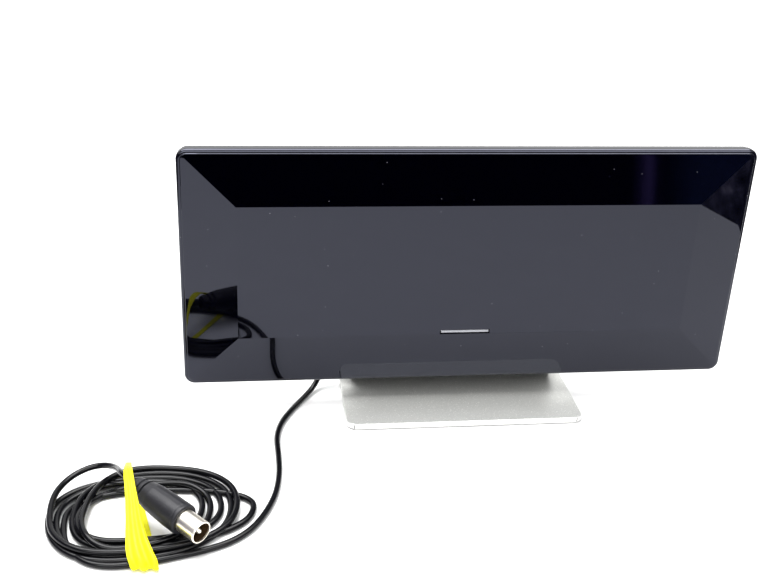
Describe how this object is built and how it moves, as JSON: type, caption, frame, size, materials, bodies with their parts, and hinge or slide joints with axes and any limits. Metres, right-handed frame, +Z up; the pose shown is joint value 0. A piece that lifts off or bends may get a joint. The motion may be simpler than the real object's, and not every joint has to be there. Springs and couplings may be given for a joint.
{
  "type": "indoor television antenna",
  "caption": "Flat-panel indoor television antenna on a low tilting metal stand, with a coiled coaxial lead held by a rubber band and ending in a coaxial plug.",
  "frame": {"origin": "on the table, under the middle of the panel and of the stand, without the free lead", "axes": "+X to the right seen from the front and along the panel's length, the panel faces -Y, +Z up"},
  "size_m": [0.3229, 0.1689, 0.132],
  "materials": {
    "gloss_shell": "piano-black gloss",
    "matt_shell": "fine spark-eroded texture",
    "clear_guide": "clear, frosted face",
    "circuit_board": "green solder mask",
    "copper_foil": "bare copper",
    "brass_pin": "bright",
    "tinned_steel": "tinned",
    "chip_resin": "moulded epoxy",
    "ferrite": "sintered",
    "lamp_lens": "clear epoxy",
    "lead_sheath": "soft semi-gloss vinyl",
    "black_screw": "black oxide",
    "zinc_screw": "bright zinc",
    "bush_nylon": "natural nylon",
    "pivot_steel": "turned",
    "silver_skin": "satin silver, fine metallic grain",
    "ballast_steel": "black lacquer",
    "foot_rubber": "matt",
    "band_rubber": "fluorescent yellow",
    "plug_moulding": "soft matt vinyl",
    "plug_nickel": "nickel plate",
    "plug_insulator": "dark moulding"
  },
  "bodies": {
    "stand": {"neck": "matt_shell", "stand_skin": "silver_skin", "ballast_plate": "ballast_steel", "stand_screws": "black_screw", "foot_front_left": "foot_rubber", "foot_front_right": "foot_rubber", "foot_rear_left": "foot_rubber", "foot_rear_right": "foot_rubber", "friction_washer_left": "pivot_steel", "friction_washer_right": "pivot_steel", "pivot_left": "pivot_steel", "pivot_right": "pivot_steel", "pivot_cap": "matt_shell", "lead_relief": "lead_sheath", "lead_run": "lead_sheath", "lead_coil": "lead_sheath", "lead_end": "lead_sheath", "tie_band": "band_rubber", "plug_body": "plug_moulding", "plug_shell": "plug_nickel", "plug_insulator": "plug_insulator", "plug_pin": "plug_nickel"},
    "panel": {"front_cover": "gloss_shell", "rear_cover": "matt_shell", "light_guide": "clear_guide", "antenna_board": "circuit_board", "uhf_element_left": "copper_foil", "uhf_element_right": "copper_foil", "vhf_loop": "copper_foil", "feed_pin_left": "brass_pin", "feed_pin_right": "brass_pin", "amplifier_board": "circuit_board", "shield_frame": "tinned_steel", "shield_lid": "tinned_steel", "amplifier_chip": "chip_resin", "balun_core": "ferrite", "status_lamp": "lamp_lens", "inner_lead": "lead_sheath", "lead_clamp": "matt_shell", "cover_screws": "black_screw", "board_screws": "zinc_screw", "amplifier_screws": "zinc_screw", "clamp_screws": "zinc_screw", "barrel_bush_left": "bush_nylon", "barrel_bush_right": "bush_nylon"}
  },
  "joints": [
    {"name": "panel_tilt", "type": "hinge", "parent": "stand", "child": "panel", "pos_m": [0, 0.0085, 0.012], "axis": [1, 0, 0], "range_deg": [-25, 5]}
  ]
}
